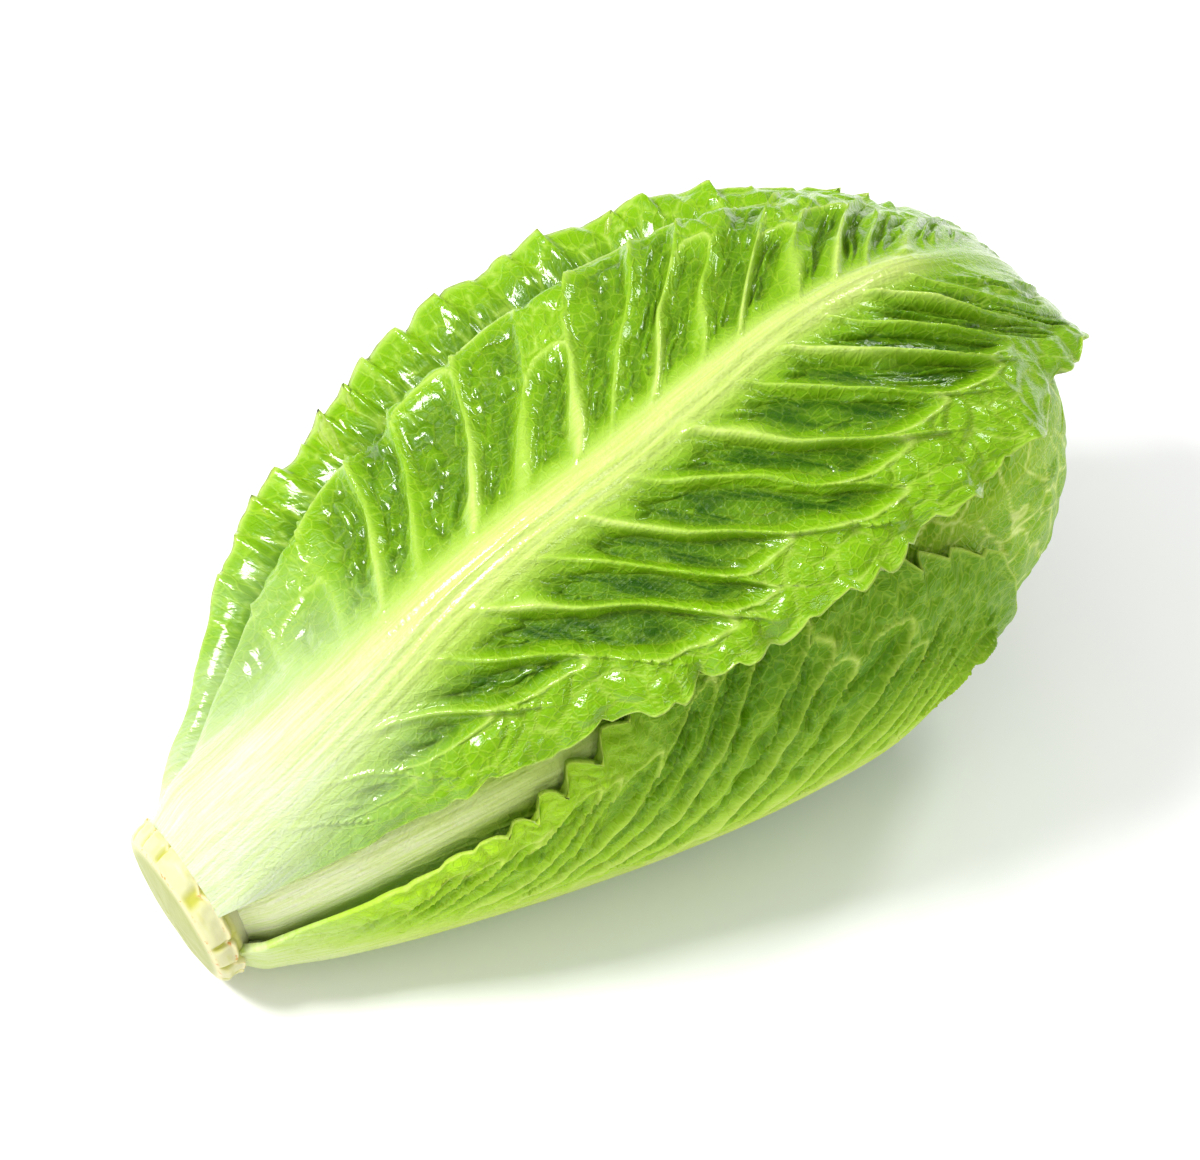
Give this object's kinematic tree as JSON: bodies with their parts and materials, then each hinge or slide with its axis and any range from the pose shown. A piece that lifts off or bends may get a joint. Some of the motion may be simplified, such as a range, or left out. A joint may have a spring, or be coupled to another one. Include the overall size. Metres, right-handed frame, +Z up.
{
  "type": "romaine heart",
  "caption": "Trimmed romaine heart lying on its side: broad ribbed outer leaves wrapped around nested paler leaves on a short cut stem.",
  "frame": {"origin": "on the ground under the middle of the whole heart's bounding box", "axes": "+X along the heart from the cut stem towards the leaf tips, +Z up"},
  "size_m": [0.2232, 0.1188, 0.1133],
  "materials": {
    "stem": "moist pale yellow-green plant tissue, satin",
    "front_leaf": "fresh wet-looking lettuce leaf, glossy green blade with a pale rib",
    "lower_leaf": "fresh wet-looking lettuce leaf, glossy green blade with a pale rib",
    "back_leaf": "fresh wet-looking lettuce leaf, glossy green blade with a pale rib",
    "middle_leaf": "fresh lettuce leaf, dark green blade with a thick pale rib",
    "under_leaf": "fresh lettuce leaf, green blade with a pale rib",
    "crown_leaf": "fresh lettuce leaf, green blade with a pale rib",
    "heart_leaf": "tender yellow-green inner lettuce leaf, satin"
  },
  "bodies": {
    "root": {"stem": "stem", "front_leaf": "front_leaf", "lower_leaf": "lower_leaf", "back_leaf": "back_leaf", "middle_leaf": "middle_leaf", "under_leaf": "under_leaf", "crown_leaf": "crown_leaf", "heart_leaf_1": "heart_leaf", "heart_leaf_2": "heart_leaf", "heart_leaf_3": "heart_leaf", "heart_leaf_4": "heart_leaf", "heart_leaf_5": "heart_leaf", "heart_leaf_6": "heart_leaf", "heart_leaf_7": "heart_leaf", "heart_leaf_8": "heart_leaf"}
  },
  "joints": []
}
